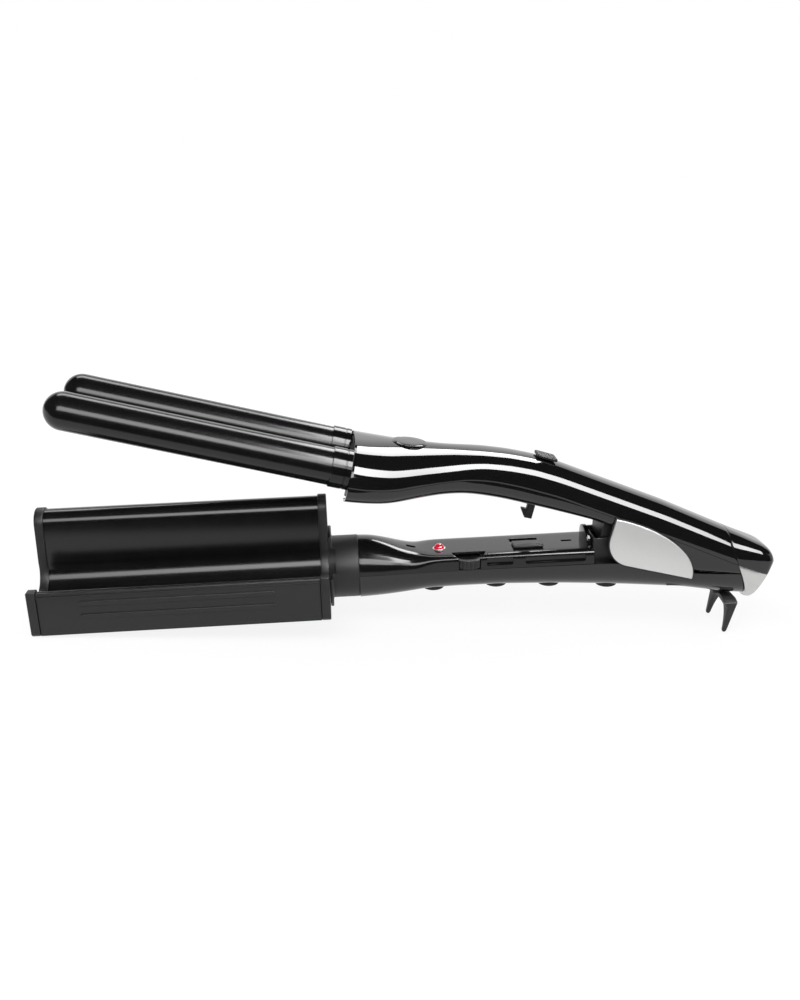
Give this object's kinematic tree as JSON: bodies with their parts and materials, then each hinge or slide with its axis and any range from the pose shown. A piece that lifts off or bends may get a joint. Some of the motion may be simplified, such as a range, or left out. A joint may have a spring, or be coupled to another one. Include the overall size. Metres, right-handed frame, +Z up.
{
  "type": "hair waver",
  "caption": "Hand-held hair waver: two round barrels on the upper arm close into the valleys of a ridged plate on the lower arm, hinged near the tail, with a fold-out stand.",
  "frame": {"origin": "centre of the footprint's bounding box, on the surface that the iron stands on", "axes": "+X from the barrels towards the tail, +Y across, away from the side with the dial, +Z up"},
  "size_m": [0.391, 0.074, 0.1213],
  "materials": {
    "gloss_coating": "gloss",
    "gloss_plastic": "gloss",
    "satin_plastic": "satin",
    "grey_plastic": "satin",
    "silver": "satin",
    "steel": "satin",
    "aluminium": "satin",
    "ceramic": "matte",
    "rubber": "matte",
    "red_lens": "gloss",
    "board": "satin",
    "bush_plastic": "satin",
    "wire": "matte"
  },
  "bodies": {
    "lower_arm": {"wave_plate": "gloss_coating", "jaw_housing": "satin_plastic", "front_end_cap": "satin_plastic", "rear_end_cap": "satin_plastic", "neck_collar": "satin_plastic", "ridge_heater": "ceramic", "heater_clamp": "steel", "heat_shield": "aluminium", "thermal_fuse": "aluminium", "lower_shell": "satin_plastic", "inner_cover": "grey_plastic", "indicator_lens": "red_lens", "control_board": "board", "grip_nubs": "rubber", "shell_screws": "steel", "hinge_bushes": "bush_plastic", "opening_spring": "steel", "spring_guard_lower": "satin_plastic", "stand_pin": "steel", "lower_wiring": "wire"},
    "upper_arm": {"near_barrel_tube": "gloss_coating", "far_barrel_tube": "gloss_coating", "near_barrel_collar": "gloss_plastic", "far_barrel_collar": "gloss_plastic", "near_heater_core": "aluminium", "far_heater_core": "aluminium", "near_heater_strip": "ceramic", "far_heater_strip": "ceramic", "barrel_carrier": "satin_plastic", "carrier_screws": "steel", "upper_cover": "gloss_plastic", "upper_base": "satin_plastic", "top_disc": "satin_plastic", "spring_guard_upper": "satin_plastic", "near_side_plate": "silver", "far_side_plate": "silver", "hinge_pin": "steel", "tail_cap": "gloss_plastic", "tail_trim": "silver", "cord_gland": "rubber", "upper_wiring": "wire"},
    "power_switch": {"power_switch_knob": "gloss_plastic"},
    "dial": {"temperature_dial": "satin_plastic"},
    "stand": {"stand_fork": "satin_plastic"},
    "lock": {"lock_slider": "satin_plastic"}
  },
  "joints": [
    {"name": "jaw_hinge", "type": "hinge", "parent": "lower_arm", "child": "upper_arm", "pos_m": [0.14099, 0, 0.04129], "axis": [0, -1, 0], "range_deg": [0, 15], "stiffness_Nm_per_rad": 1.2, "springref_deg": -20.05, "deforming": ["opening_spring"]},
    {"name": "power_switch_slide", "type": "slide", "parent": "lower_arm", "child": "power_switch", "axis": [0.9961, 0, 0.0878], "range_m": [0, 0.004]},
    {"name": "dial_turn", "type": "hinge", "parent": "lower_arm", "child": "dial", "pos_m": [0.02896, -0.008, 0.03673], "axis": [-0.0878, 0, 0.9961], "range_deg": [0, 270]},
    {"name": "lock_slide", "type": "slide", "parent": "upper_arm", "child": "lock", "axis": [-0.9849, 0, 0.173], "range_m": [0, 0.004]},
    {"name": "stand_fold", "type": "hinge", "parent": "lower_arm", "child": "stand", "pos_m": [0.16803, 0, 0.025], "axis": [0, 1, 0], "range_deg": [0, 70]}
  ]
}
